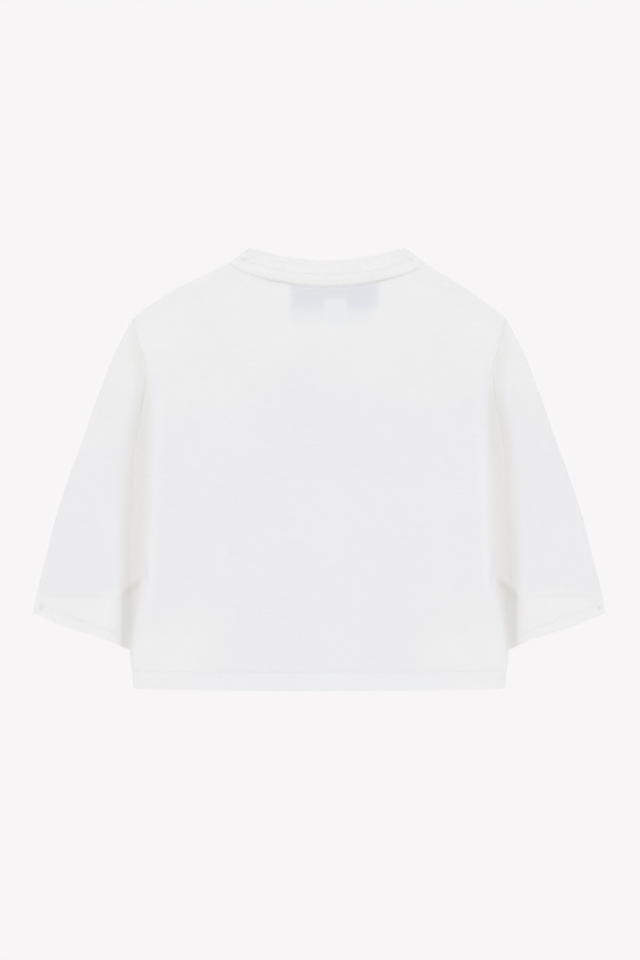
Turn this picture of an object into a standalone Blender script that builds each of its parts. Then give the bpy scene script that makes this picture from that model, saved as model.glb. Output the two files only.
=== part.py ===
"""A baby's long-sleeve T-shirt, laid flat on its front with the back panel up.

X runs across the body, Y up to the neck and Z up from the surface that the garment lies on.
The origin is on that surface, under the middle of the garment.  Tables and sizes are in
millimetres, and MM turns them into metres where points are made.
"""

import math

import bmesh
import bpy

MM = 0.001

# ---------------------------------------------------------------- cloth and seams
JERSEY = 1.0            # wall of the body and sleeves
RIB = 1.6               # the doubled neckband
TRIM = 0.8              # label and tab
SEAM = 0.3              # between two pieces that are sewn together
FOLD_RADIUS = 1.5       # outside radius of a flattened sleeve's folded edges
BAND_FOLD_RADIUS = 2.0  # outside radius where the neckband turns over at the shoulders

# ---------------------------------------------------------------- outline of the body
SHOULDER_Y = 111.2      # height up the body of the points where sleeves and shoulders meet
HEM_X = 137.0
HEM_Y = -162.2
HEM_SAG = 1.6
TUCK_Y = 12.0           # below this the sleeve passes under the body's side

# The body's edge from the hem up to the shoulder point, and what lies along it:
# half is half the body's width, ridge_in and ridge place the crest of its rounded side and
# sleeve is the sleeve's height where the edge crosses it, rising over dip beside the edge.
EDGE = {
    "y":        (-163, -150, -134, -112, -82, -52, -23, -5, 12, 30, 47, 62, 74, 86, 98, 112),
    "half":     (137, 138.4, 139.7, 140.5, 140.2, 139.3, 138.4, 137.6,
                 136.2, 133.8, 131, 129, 128.4, 131, 135.2, 138.2),
    "ridge_in": (9, 8, 7, 9, 13, 15, 16, 16, 14, 12, 9, 8, 7, 6, 6, 6),
    "ridge":    (4.2, 5.2, 7.0, 7.8, 8.0, 8.0, 8.0, 7.8, 7.4, 7.0, 6.6, 6.4, 6.2, 6.0, 5.6, 5.2),
    "base":     (3.6, 4.4, 4.8, 5.1, 5.2, 5.2, 5.2, 5.2, 5.2, 5.2, 5.2, 5.2, 5.2, 5.2, 5.2, 5.1),
    "sleeve":   (3.0, 3.0, 3.0, 3.0, 3.0, 3.0, 3.0, 3.0, 3.0, 4.5, 4.8, 4.8, 4.8, 4.8, 4.8, 4.8),
    "dip":      (4, 4, 4, 5, 7, 10, 12, 13, 13, 13, 12, 10, 9, 8, 7, 6),
}
RIDGE_OUT = 34.0        # from the crest of the side down to the flat middle
SHOULDER_ROLL = 7.0     # the back rounds down over this at the shoulders
EDGE_DROP = 0.85        # the wall's inside hangs this far below its outer edge where it rolls over
SEAM_TOP = 5.0          # top of the back panel where it meets a sleeve

# Shoulder lines, by x from the shoulder point in to the neckband.
LEFT_SHOULDER = ((-138.2, 111.2), (-128.2, 119.2), (-119.4, 125.2), (-104.4, 134.0),
                 (-91.6, 140.2), (-79.8, 145.9), (-66.0, 153.0))
RIGHT_SHOULDER = ((77.6, 153.0), (88.0, 146.1), (98.0, 140.2), (107.5, 134.2),
                  (120.0, 125.4), (128.6, 119.2), (138.2, 111.2))

# ---------------------------------------------------------------- neck, by distance from its middle
NECK_X = 5.8
BACK_SEAM = ((0, 134.8), (18, 135.6), (34, 137.7), (52, 142.3), (66.5, 148.0), (71.8, 153.0))
BACK_EDGE = ((0, 153.8), (20, 154.9), (40, 158.3), (58.1, 163.7))
FRONT_SEAM = ((0, 109.0), (22, 111.6), (41, 120.0), (57, 133.5), (67, 146.0), (71.8, 153.0))
FRONT_EDGE = ((0, 127.5), (20, 130.4), (36, 138.4), (48, 149.0), (58.1, 163.7))
BAND_PROUD = 0.5        # the doubled rib stands this far above the panel beside it
CORNER_RISE = 16.0      # distance from a corner over which the neckband climbs to the panel

# ---------------------------------------------------------------- where the front crosses a sleeve
LIFT = 2 * FOLD_RADIUS + SEAM   # underside of the front where it lies on a sleeve
LIFT_FLAT = 17.0                # fully lifted this far in from the body's edge
LIFT_FALL = 15.0                # and down on the surface this much further in
LIFT_TOP = (TUCK_Y + 2, TUCK_Y + 16)        # it comes down above the place where they tuck in
LIFT_FOOT = (-141.0, -156.0)                # and below the cuff

# ---------------------------------------------------------------- sleeve, photo's left
SLEEVE_OUTER = ((-138.5, 111.2), (-146.7, 95.5), (-153.6, 80.7), (-164.8, 51.1),
                (-175.0, 21.5), (-186.0, -8.1), (-195.4, -37.7), (-202.8, -67.3),
                (-208.6, -89.5), (-211.6, -106.4))
# The end of the armhole seam, and the inner fold from there to the cuff, lie under the body.
ARMHOLE_TAIL = ((-135.4, 4.0), (-132.6, -2.0), (-128.6, -6.5))
SLEEVE_INNER = ((-128.4, -30.0), (-127.6, -60.0), (-127.6, -95.0), (-131.0, -136.6))
CUFF = ((-211.6, -106.4), (-193.4, -113.6), (-175.6, -119.6), (-157.8, -125.2),
        (-142.0, -132.6), (-131.0, -136.6))
# Height of the sleeve along its length, from the armhole to the cuff, by share of its length.
SLEEVE_FULL = {
    "share":  (0.0, 0.15, 0.4, 0.7, 0.9, 1.0),
    "height": (5.2, 5.6, 5.8, 5.6, 4.9, 4.0),
}
OUTER_ROLL = 12.0       # the sleeve rounds down over this to its outer fold
TUCK_MARGIN = 1.6       # the sleeve starts to rise this far outside the body's edge
TUCK_EASE = 0.15        # share of the length over which a column of points moves to that line
ARMHOLE_GAP = 0.4       # between body and sleeve, whose walls lean towards each other
POINT_CLEAR = 0.6       # extra room beside the sleeve's edge right at the shoulder point
POINT_LENGTH = 5.0

# ---------------------------------------------------------------- label and tab
LABEL_LEFT = -24.0
LABEL_RIGHT = 44.0
LABEL_FOOT = 118.6
LABEL_BELOW = 1.0       # its top edge lies this far below the neck seam
TAB_LEFT = 2.4
TAB_RIGHT = 20.9
TAB_TOP = 126.0
TAB_FOOT = 104.8
LABEL_DROP = 7.0        # the label hangs clear of the back over this, which leaves room for the tab

# ---------------------------------------------------------------- how finely each piece is divided
# Rows down from the shoulder point: those along the armhole are shared by body and sleeves.
ARMHOLE_STEPS = (0, 0.7, 2.2, 4.6, 8, 12.5, 18, 25, 34, 45, 57, 69, 80, 90, 99.2)
TAIL_SHARES = (0.35, 0.7)
LOWER_STEPS = (106, 114, 123, 134, 147, 162, 180, 198, 216, 232, 243, 250, 256, 264)
BACK_STEPS = (0, 0.5, 1.6, 3.4, 5.8, 9, 13, 18, 26, 38, 54)      # in from the body's edges
FRONT_STEPS = (0, 6, 13, 20, 26, 33, 50)
NECK_SHARE = 0.26       # the columns from here to 1 - here end on the neck
NECK_COLUMNS = 12
NECK_CORNER = (0.014, 0.042)    # shares of the neck with a column more, near both its corners
SLEEVE_RINGS = (0, 0.03, 0.07, 0.13, 0.21, 0.3, 0.4, 0.5, 0.6, 0.7, 0.8, 0.88, 0.95, 1)
FOLD_ANGLES = (-90, -45, 0, 45, 90)
CORNER_ANGLES = (60, 20, -20, -60)
BAND_ROWS = (1, 0.5, 0)

WHITE = (0.86, 0.85, 0.83)
LABEL_WHITE = (0.80, 0.82, 0.85)


# ================================================================ curves and tables
def table_at(table, key, column, value):
    """A column of a table at a value of its key column, on a curve that never overshoots."""
    keys = table[key]
    heights = table[column]
    if value <= keys[0]:
        return heights[0]
    if value >= keys[-1]:
        return heights[-1]
    slopes = [(heights[i + 1] - heights[i]) / (keys[i + 1] - keys[i]) for i in range(len(keys) - 1)]
    i = max(j for j in range(len(keys) - 1) if keys[j] <= value)

    def tangent(j):
        before = slopes[max(j - 1, 0)]
        after = slopes[min(j, len(slopes) - 1)]
        return 0.0 if before * after <= 0 else 2 * before * after / (before + after)

    span = keys[i + 1] - keys[i]
    t = (value - keys[i]) / span
    return (
        heights[i] * (1 + 2 * t) * (1 - t) ** 2
        + heights[i + 1] * (3 - 2 * t) * t * t
        + span * (tangent(i) * t * (1 - t) ** 2 - tangent(i + 1) * t * t * (1 - t))
    )


def line_at(points, x):
    """Height at x of a smooth line through points."""
    keyed = {"x": [point[0] for point in points], "y": [point[1] for point in points]}
    return table_at(keyed, "x", "y", x)


def smooth(value, start, end):
    """0 before start, 1 after end, and a soft step between."""
    t = min(max((value - start) / (end - start), 0.0), 1.0)
    return t * t * (3 - 2 * t)


def rounded(share):
    """Height of a quarter circle, 0 at its steep foot and 1 at its crest."""
    t = min(max(share, 0.0), 1.0)
    return math.sqrt(1 - (1 - t) ** 2)


def curve_through(points, samples=16):
    """A smooth curve through the points: a function from 0..1, by length, to a place on it."""
    count = len(points)
    line = []
    for i in range(count - 1):
        p0 = points[max(i - 1, 0)]
        p1 = points[i]
        p2 = points[i + 1]
        p3 = points[min(i + 2, count - 1)]
        for k in range(samples):
            t = k / samples
            line.append(tuple(
                0.5 * (2 * b + (c - a) * t + (2 * a - 5 * b + 4 * c - d) * t * t
                       + (3 * b - a - 3 * c + d) * t ** 3)
                for a, b, c, d in zip(p0, p1, p2, p3)
            ))
    line.append(tuple(points[-1]))
    lengths = [0.0]
    for before, after in zip(line, line[1:]):
        lengths.append(lengths[-1] + math.dist(before, after))

    def place(share):
        wanted = min(max(share, 0.0), 1.0) * lengths[-1]
        i = 0
        while i < len(line) - 2 and lengths[i + 1] < wanted:
            i += 1
        t = (wanted - lengths[i]) / (lengths[i + 1] - lengths[i])
        return tuple(a + (b - a) * t for a, b in zip(line[i], line[i + 1]))

    return place


def mirrored_neck(half):
    """The whole neck curve, left to right, from one half of it by distance from the middle."""
    left = [(NECK_X - x, y) for x, y in reversed(half)]
    right = [(NECK_X + x, y) for x, y in half[1:]]
    return curve_through(left + right)


def patch(bottom, top, left, right):
    """A sheet between four edge curves: a function from (across, up), 0..1, to (x, y)."""
    corners = (bottom(0), bottom(1), top(0), top(1))

    def place(u, v):
        ends = zip(bottom(u), top(u), left(v), right(v), *corners)
        return tuple(
            (1 - v) * b + v * t + (1 - u) * le + u * r
            - ((1 - u) * (1 - v) * c00 + u * (1 - v) * c10 + (1 - u) * v * c01 + u * v * c11)
            for b, t, le, r, c00, c10, c01, c11 in ends
        )

    return place


# ================================================================ the body's form
def half_width(y):
    return table_at(EDGE, "y", "half", y)


def front_lift(x, y):
    """How far the front is lifted off the surface: it crosses the tucked sleeves."""
    inside = half_width(y) - abs(x)
    across = 1 - smooth(inside, LIFT_FLAT, LIFT_FLAT + LIFT_FALL)
    above = 1 - smooth(y, *LIFT_TOP)
    below = smooth(y, LIFT_FOOT[1], LIFT_FOOT[0])
    return LIFT * across * above * below


def shoulder_distance(x, y):
    """How far a place lies below the nearer shoulder line, which runs on straight over the neck."""
    line = LEFT_SHOULDER if x < NECK_X else RIGHT_SHOULDER[::-1]
    (point_x, point_y), (neck_x, neck_y) = line[0], line[-1]
    run, rise = abs(neck_x - point_x), neck_y - point_y
    past_neck = abs(x - point_x) - run
    if past_neck > 0:
        edge = neck_y + rise / run * past_neck
    else:
        edge = line_at(sorted(line), x)
    return (edge - y) * run / math.hypot(run, rise)


def back_height(x, y):
    """Top of the back panel."""
    inside = max(half_width(y) - abs(x), 0.0)
    ridge_in = table_at(EDGE, "y", "ridge_in", y)
    ridge = table_at(EDGE, "y", "ridge", y)
    base = table_at(EDGE, "y", "base", y)
    fold = JERSEY + SEAM + EDGE_DROP
    sewn_share = smooth(y, TUCK_Y - 4, TUCK_Y + 12)
    rim = fold + front_lift(half_width(y), y)
    rim += (SEAM_TOP - rim) * sewn_share
    rolled = rounded(inside / ridge_in)
    sewn = smooth(inside, 0, ridge_in)
    if inside < ridge_in:
        height = rim + (ridge - rim) * (rolled + (sewn - rolled) * sewn_share)
    else:
        height = ridge + (base - ridge) * smooth(inside, ridge_in, ridge_in + RIDGE_OUT)
    return fold + (height - fold) * rounded(shoulder_distance(x, y) / SHOULDER_ROLL)


def sleeve_height(x, y, share, from_fold):
    """Top of a sleeve: rounded at its outer fold, low where it meets or goes under the body."""
    outside = abs(x) - half_width(y) - TUCK_MARGIN
    low = table_at(EDGE, "y", "sleeve", y)
    full = table_at(SLEEVE_FULL, "share", "height", share)
    height = low + (full - low) * smooth(outside, 0, table_at(EDGE, "y", "dip", y))
    fold = 2 * FOLD_RADIUS
    return fold + (height - fold) * rounded(from_fold / OUTER_ROLL)


# ================================================================ making meshes
def new_object(name, bm, colour):
    """A finished open sheet as an object in the garment's collection."""
    mesh = bpy.data.meshes.new(name)
    bm.to_mesh(mesh)
    bm.free()
    mesh.shade_smooth()
    obj = bpy.data.objects.new(name, mesh)
    garment.objects.link(obj)
    material = bpy.data.materials.new(name)
    material.use_nodes = True
    shader = material.node_tree.nodes["Principled BSDF"]
    shader.inputs["Base Color"].default_value = (*colour, 1)
    shader.inputs["Roughness"].default_value = 0.9
    shader.inputs["Metallic"].default_value = 0
    mesh.materials.append(material)
    return obj


def give_wall(obj, thickness):
    """Cloth of this thickness, inwards from the sheet that was modelled."""
    wall = obj.modifiers.new("wall", "SOLIDIFY")
    wall.thickness = thickness * MM
    wall.offset = -1
    wall.use_even_offset = True


def sheet(name, across, up, place, colour, thickness, faces_up):
    """A grid whose points go where place(u, v) says, with a wall behind its outer side."""
    bm = bmesh.new()
    bmesh.ops.create_grid(bm, x_segments=len(across) - 1, y_segments=len(up) - 1, size=0.5)
    columns = len(across)
    bm.verts.ensure_lookup_table()
    for row, v in enumerate(up):
        for column, u in enumerate(across):
            point = place(u, v)
            bm.verts[row * columns + column].co = [value * MM for value in point]
    if not faces_up:
        bmesh.ops.reverse_faces(bm, faces=bm.faces)
    obj = new_object(name, bm, colour)
    give_wall(obj, thickness)
    return obj


def loft(name, rings, closed, colour, thickness):
    """A sheet through rings of as many points each: closed runs it round to its first ring."""
    bm = bmesh.new()
    made = [[bm.verts.new([value * MM for value in point]) for point in ring] for ring in rings]
    count = len(rings[0])
    following = made[1:] + made[:1] if closed else made[1:]
    for before, after in zip(made, following):
        for i in range(count - 1 if closed else count):
            j = (i + 1) % count
            bm.faces.new((before[i], before[j], after[j], after[i]))
    obj = new_object(name, bm, colour)
    give_wall(obj, thickness)
    return obj


# ================================================================ the pieces
def body_outline(neck):
    """The body's sheet between hem, edges, and shoulders and neck."""
    left_line = curve_through(LEFT_SHOULDER)
    right_line = curve_through(RIGHT_SHOULDER)

    def top(u):
        if u < NECK_SHARE:
            return left_line(u / NECK_SHARE)
        if u > 1 - NECK_SHARE:
            return right_line((u - 1 + NECK_SHARE) / NECK_SHARE)
        return neck((u - NECK_SHARE) / (1 - 2 * NECK_SHARE))

    def hem(u):
        sag = 1 - (2 * u - 1) ** 2
        return (HEM_X * (2 * u - 1), HEM_Y - HEM_SAG * sag)

    def edge(side):
        def place(v):
            y = HEM_Y + (SHOULDER_Y - HEM_Y) * v
            return (side * half_width(y), y)
        return place

    return patch(hem, top, edge(-1), edge(1))


def body_rows():
    """Shares of the body's height, from hem to shoulder."""
    height = SHOULDER_Y - HEM_Y
    return [0.0] + [1 - step / height for step in reversed(ARMHOLE_STEPS + LOWER_STEPS)]


def neck_shares():
    """Shares of the neck's length, corner to corner, where panels and neckband have a column."""
    even = [i / NECK_COLUMNS for i in range(1, NECK_COLUMNS)]
    return [*NECK_CORNER, *even, *(1 - share for share in reversed(NECK_CORNER))]


def body_columns(steps):
    """Shares of the body's width: close together along its edges, even across the neck."""
    near = [step / (2 * HEM_X) for step in steps]
    neck = [NECK_SHARE + (1 - 2 * NECK_SHARE) * share for share in (0, *neck_shares(), 1)]
    return near + neck + [1 - share for share in reversed(near)]


def make_back():
    place_flat = body_outline(mirrored_neck(BACK_SEAM))

    def place(u, v):
        x, y = place_flat(u, v)
        return (x, y, back_height(x, y))

    columns = body_columns(BACK_STEPS)
    return sheet("back_panel", columns, body_rows(), place, WHITE, JERSEY, faces_up=True)


def make_front():
    place_flat = body_outline(mirrored_neck(FRONT_SEAM))

    def place(u, v):
        x, y = place_flat(u, v)
        return (x, y, front_lift(x, y))

    columns = body_columns(FRONT_STEPS)
    return sheet("front_panel", columns, body_rows(), place, WHITE, JERSEY, faces_up=False)


def tuck_share(place_flat, share, armhole_end):
    """How far across a sleeve, by share of its width, it passes the body's edge."""
    low, high = 0.5, 1.0
    for _ in range(24):
        middle = (low + high) / 2
        x, y = place_flat(middle, max(share, TUCK_EASE))
        if abs(x) - half_width(y) > TUCK_MARGIN:
            low = middle
        else:
            high = middle
    return armhole_end + (high - armhole_end) * min(share / TUCK_EASE, 1)


def sleeve_ring(place_flat, inner, width, share, armhole_end):
    """One section of a flattened sleeve: along the bottom, round the inner fold and back on top."""
    r = FOLD_RADIUS
    tuck = tuck_share(place_flat, share, armhole_end)
    across = [step / ARMHOLE_STEPS[-1] * tuck for step in ARMHOLE_STEPS if step > 2 * r]
    across += [tuck + (1 - tuck) * tail for tail in TAIL_SHARES]
    places = [(*place_flat(u, share), u * width - r) for u in across]
    bottom = [(x, y, 0.0) for x, y, _ in places]
    top = [(x, y, sleeve_height(x, y, share, d)) for x, y, d in reversed(places)]

    x, y = inner(share)
    before, after = inner(share - 0.02), inner(share + 0.02)
    along = math.dist(before, after)
    out_x, out_y = (before[1] - after[1]) / along, (after[0] - before[0]) / along
    inner_fold = []
    outer_fold = []
    for degrees in FOLD_ANGLES:
        angle = math.radians(degrees)
        inward = r * (1 - math.cos(angle))
        inner_fold.append((x - out_x * inward, y - out_y * inward, r + r * math.sin(angle)))
        outer_fold.append((*place_flat(inward / width, share), r - r * math.sin(angle)))
    return bottom + inner_fold + top + outer_fold


def make_sleeve(name, side):
    """side is -1 for the sleeve on the photo's left and 1 for the other, its mirror image."""
    def seam_point(y):
        clear = POINT_CLEAR * (1 - smooth(SHOULDER_Y - y, 0, POINT_LENGTH))
        return (-half_width(y) - ARMHOLE_GAP - clear, y)

    tail = curve_through((seam_point(TUCK_Y), *ARMHOLE_TAIL))
    along = SHOULDER_Y - TUCK_Y
    tail_length = math.dist(seam_point(TUCK_Y), ARMHOLE_TAIL[-1])
    armhole_end = along / (along + tail_length)

    def armhole(u):
        if u <= armhole_end:
            return seam_point(SHOULDER_Y - along * u / armhole_end)
        return tail((u - armhole_end) / (1 - armhole_end))

    outer = curve_through((armhole(0), *SLEEVE_OUTER[1:]))
    inner = curve_through((armhole(1), *SLEEVE_INNER))
    place_flat = patch(armhole, curve_through(CUFF), outer, inner)
    rings = []
    for share in SLEEVE_RINGS:
        width = math.dist(outer(share), inner(share))
        ring = sleeve_ring(place_flat, inner, width, share, armhole_end)
        ring = [(-side * x, y, z) for x, y, z in ring]
        rings.append(ring[::-1] if side > 0 else ring)
    return loft(name, rings, False, WHITE, JERSEY)


def neck_height(x, y):
    """Top of the neckband's back stretch, level with the panel beside it and proud of it."""
    from_corner = BACK_SEAM[-1][0] - abs(x - NECK_X)
    low = 2 * BAND_FOLD_RADIUS
    full = EDGE["base"][-1] + BAND_PROUD
    return low + (full - low) * smooth(from_corner, 0, CORNER_RISE)


def make_neckband():
    """One ring: the back stretch on top, turned over at both shoulders onto the front stretch."""
    r = BAND_FOLD_RADIUS
    back = (mirrored_neck(BACK_SEAM), mirrored_neck(BACK_EDGE))
    front = (mirrored_neck(FRONT_SEAM), mirrored_neck(FRONT_EDGE))
    ease = NECK_CORNER[0]

    def station(stretch, share, height):
        seam, edge = (curve(share) for curve in stretch)
        clear = SEAM / math.dist(seam, edge)
        row = []
        for across in BAND_ROWS:
            t = clear + (1 - clear) * across
            x, y = (a + (b - a) * t for a, b in zip(seam, edge))
            row.append((x, y, height(x, y)))
        return row

    def corner(end, degrees):
        angle = math.radians(degrees)
        inward = ease * (1 - math.cos(angle))
        stretch = back if degrees > 0 else front
        return station(stretch, abs(end - inward), lambda x, y: r + r * math.sin(angle))

    along = neck_shares()
    rings = [station(back, share, neck_height) for share in along]
    rings += [corner(1, degrees) for degrees in CORNER_ANGLES]
    rings += [station(front, share, lambda x, y: 0.0) for share in reversed(along)]
    rings += [corner(0, degrees) for degrees in reversed(CORNER_ANGLES)]
    return loft("neckband", rings, True, WHITE, RIB)


def under_back(x, y, depth):
    """A height this far below the inside of the back panel."""
    return back_height(x, y) - JERSEY - SEAM - depth


def even(count):
    """Shares 0 to 1 in this many steps."""
    return [i / count for i in range(count + 1)]


def make_label():
    def place(u, v):
        x = LABEL_LEFT + (LABEL_RIGHT - LABEL_LEFT) * u
        top = line_at(BACK_SEAM, abs(x - NECK_X)) - LABEL_BELOW
        y = LABEL_FOOT + (top - LABEL_FOOT) * v
        drop = (TRIM + SEAM) * smooth(top - y, 0, LABEL_DROP)
        return (x, y, under_back(x, y, drop))

    return sheet("neck_label", even(6), even(4), place, LABEL_WHITE, TRIM, faces_up=True)


def make_tab():
    def place(u, v):
        x = TAB_LEFT + (TAB_RIGHT - TAB_LEFT) * u
        y = TAB_FOOT + (TAB_TOP - TAB_FOOT) * v
        return (x, y, under_back(x, y, 0))

    return sheet("size_tab", even(3), even(4), place, LABEL_WHITE, TRIM, faces_up=True)


for old in list(bpy.data.objects):
    bpy.data.objects.remove(old, do_unlink=True)

garment = bpy.data.collections.new("long_sleeve_t_shirt")
bpy.context.scene.collection.children.link(garment)

make_back()
make_front()
make_sleeve("sleeve_left", -1)
make_sleeve("sleeve_right", 1)
make_neckband()
make_label()
make_tab()
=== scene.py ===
"""A baby's long-sleeve T-shirt of ivory cotton jersey, laid flat on its front with the back up.

Tables and sizes are in millimetres, and MM turns them into metres where meshes are made.
X runs across the body, Y up to the neck and Z up from the floor that the garment lies on.
"""

import math

import bpy
import numpy as np
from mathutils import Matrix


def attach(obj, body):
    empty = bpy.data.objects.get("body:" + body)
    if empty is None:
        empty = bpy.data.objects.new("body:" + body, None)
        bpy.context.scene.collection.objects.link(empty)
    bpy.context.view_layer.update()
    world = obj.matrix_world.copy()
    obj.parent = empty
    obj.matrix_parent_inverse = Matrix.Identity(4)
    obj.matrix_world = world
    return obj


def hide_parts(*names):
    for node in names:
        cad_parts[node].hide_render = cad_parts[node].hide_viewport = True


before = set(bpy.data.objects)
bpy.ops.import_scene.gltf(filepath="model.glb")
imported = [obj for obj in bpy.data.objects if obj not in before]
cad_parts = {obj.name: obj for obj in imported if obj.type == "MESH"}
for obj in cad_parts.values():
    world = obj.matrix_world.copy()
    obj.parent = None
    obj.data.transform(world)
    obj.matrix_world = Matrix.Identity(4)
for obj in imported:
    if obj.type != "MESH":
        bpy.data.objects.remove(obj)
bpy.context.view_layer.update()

MM = 0.001

# ================================================================ sizes
JERSEY = 0.7            # wall of the body and sleeves
HEM_WALL = 1.5          # where the jersey is turned in and doubled, in the body
CUFF_WALL = 1.3         # and at the end of the sleeves
RIB = 1.0               # each layer of the doubled neckband
RIBBON = 0.45           # label and tab
FOLD_RADIUS = 0.8       # half the height of a flattened sleeve's folded edges
FOLD_REACH = 0.45       # and how far they are rounded, seen from above
BAND_FOLD_RADIUS = 0.85 # outside radius where the neckband turns over at the shoulders
BAND_FOLD_WALL = 0.5    # and how thin the rib is pressed there
RIM = 0.12              # each panel's wall where front and back are sewn together
RIM_MORE = 0.35         # and this much more at the hem and beside the neckband
RIM_WIDE = 3.5          # the wall is whole this far inside such an edge
SIDE_ROLL = 0.6         # the front curls up this far along its edges to meet the back
ROLL_WIDE = 4.0         # and over this width

SHOULDER_Y = 111.2
HEM_X = 137.0
HEM_Y = -162.2
HEM_SAG = 1.6
HEM_DEPTH = 13.2        # from the body's lower edge up to its row of stitches
CUFF_DEPTH = 9.0        # and from a sleeve's lower edge
CUFF_ROW_X = 149.0      # that row shows only outside of this, away from the body
HEM_PROUD = 0.35        # a turned hem stands up by this
CUFF_PROUD = 0.32
ROW_DEPTH = 0.38        # a row of stitches pulls the cloth in by this
SEAM_DEPTH = 0.25       # and a seam by this
HEM_PUCKER = 5.3        # from one small pucker to the next along the hem
NECK_PUCKER = 6.1       # and along the neck seam
TUCK_Y = 12.0           # below this the sleeve passes under the body's side

# The body's edge from the hem up to the shoulder point, and what lies along it: half of the body's
# width; how far inside the edge the back is highest, its height there and its height in the middle;
# the sleeve's height at the edge, and how far out it has its own full height.
EDGE_Y = (-163, -150, -134, -112, -82, -52, -23, -5, 12, 30, 47, 62, 74, 86, 98, 112)
EDGE = {
    "half":     (137, 138.4, 139.7, 140.5, 140.2, 139.3, 138.4, 137.6,
                 136.2, 133.8, 131, 129, 128.4, 131, 135.2, 138.2),
    "ridge_in": (8, 7, 7, 11, 14, 15, 18, 18, 15, 10, 7, 5, 4, 4, 4, 5),
    "ridge":    (3.9, 4.7, 6.4, 7.6, 8.3, 8.5, 8.5, 8.4, 8.2, 7.4, 6.6, 6.0, 5.7, 5.5, 5.4, 5.2),
    "base":     (3.6, 4.4, 4.8, 5.1, 5.2, 5.2, 5.2, 5.2, 5.2, 5.2, 5.2, 5.2, 5.2, 5.2, 5.2, 5.1),
    "sleeve":   (3.0, 3.0, 3.0, 3.0, 3.0, 3.0, 3.0, 3.0, 3.2, 4.3, 4.5, 4.5, 4.6, 4.8, 5.0, 5.0),
    "dip":      (6, 6, 6, 7, 10, 14, 14, 14, 14, 13, 11, 10, 9, 8, 7, 6),
}
RIDGE_OUT = 34.0        # the back is down at its middle height this far inside the ridge
SHOULDER_ROLL = 14.0    # a panel has its full height this far below the shoulder line

LEFT_SHOULDER = ((-138.2, 111.2), (-128.2, 119.2), (-119.4, 125.2), (-104.4, 134.0),
                 (-91.6, 140.2), (-79.8, 145.9), (-66.0, 153.0))
RIGHT_SHOULDER = ((77.6, 153.0), (88.0, 146.1), (98.0, 140.2), (107.5, 134.2),
                  (120.0, 125.4), (128.6, 119.2), (138.2, 111.2))
NECK_X = 5.8
BACK_SEAM = ((0, 134.8), (18, 135.6), (34, 137.7), (52, 142.3), (66.5, 148.0), (71.8, 153.0))
BACK_EDGE = ((0, 153.8), (20, 154.9), (40, 158.3), (58.1, 163.7))
FRONT_SEAM = ((0, 109.0), (22, 111.6), (41, 120.0), (57, 133.5), (67, 146.0), (71.8, 153.0))
FRONT_EDGE = ((0, 127.5), (20, 130.4), (36, 138.4), (48, 149.0), (58.1, 163.7))
BAND_PROUD = 0.35       # the neckband stands this much above the back
BAND_HEIGHT = 18.5      # from its seam up to its folded edge
BAND_ROW = 9.2          # and up to its row of stitches
BAND_ROW_DEPTH = 0.30
CORNER_RISE = 15.0      # the neckband is as high as the back this far from its corners
CORNER_SINK = 0.4       # and the back is pressed down by this beside them
BAND_LENGTH = 135.0     # from corner to corner, between its seam and its folded edge
BAND_EASE = 0.014       # share of that length where the band turns over

# Over the tucked sleeves the front is lifted off the floor: how high, how far in, where it ends.
LIFT = 3.3
LIFT_FLAT = 17.0
LIFT_FALL = 15.0
LIFT_TOP = (TUCK_Y + 2, TUCK_Y + 16)
LIFT_FOOT = (-141.0, -156.0)

SLEEVE_OUTER = ((-138.5, 111.2), (-146.7, 95.5), (-153.6, 80.7), (-164.8, 51.1),
                (-175.0, 21.5), (-186.0, -8.1), (-195.4, -37.7), (-202.8, -67.3),
                (-208.6, -89.5), (-211.6, -106.4))
ARMHOLE_TAIL = ((-135.4, 4.0), (-132.6, -2.0), (-128.6, -6.5))
SLEEVE_INNER = ((-128.4, -30.0), (-127.6, -60.0), (-127.6, -95.0), (-131.0, -136.6))
CUFF = ((-211.6, -106.4), (-193.4, -113.6), (-175.6, -119.6), (-157.8, -125.2),
        (-142.0, -132.6), (-131.0, -136.6))
SLEEVE_SHARE = (0.0, 0.15, 0.4, 0.7, 0.9, 1.0)
SLEEVE_FULL = (5.2, 5.6, 5.8, 5.7, 5.5, 4.4)    # its full height by share of its length
SLEEVE_LENGTH = 230.0
SLEEVE_AXIS = (-73.1, -217.6)       # from the shoulder point to the cuff's outer corner
OUTER_ROLL = (15.5, 32.0)           # at the armhole, and all along from this far down the sleeve
OUTER_ROLL_FROM = 45.0
ARMHOLE_GAP = 0.04                  # between the body's edge and the sleeve sewn to it

LABEL = {"left": -24.0, "right": 44.0, "foot": 118.6, "below_seam": 0.6}
TAB = {"left": 2.4, "right": 20.9, "foot": 104.8, "top": 126.0}

# The middles of the short bar tacks, and how far each is turned, in degrees.
TACKS = ((-55.7, 154.8), (67.5, 155.1), (-205.9, -102.7), (207.0, -102.7))
TACK_TURNS = (15, -15, 70, 110)
TACK_HALF = 1.7
TACK_Z = 2.4


# ================================================================ curves
def through(keys, values):
    """A function through a table's values, smooth and never beyond them."""
    keys, values = np.array(keys, float), np.array(values, float)
    slopes = np.diff(values) / np.diff(keys)
    before = np.concatenate((slopes[:1], slopes))
    after = np.concatenate((slopes, slopes[-1:]))
    total = np.where(before * after > 0, before + after, 1.0)
    tangents = np.where(before * after > 0, 2 * before * after / total, 0.0)

    def at(x):
        x = np.clip(x, keys[0], keys[-1])
        i = np.clip(np.searchsorted(keys, x, side="right") - 1, 0, len(keys) - 2)
        span = keys[i + 1] - keys[i]
        t = (x - keys[i]) / span
        return (values[i] * (1 + 2 * t) * (1 - t) ** 2 + values[i + 1] * (3 - 2 * t) * t * t
                + span * (tangents[i] * t * (1 - t) ** 2 - tangents[i + 1] * t * t * (1 - t)))

    return at


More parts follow.
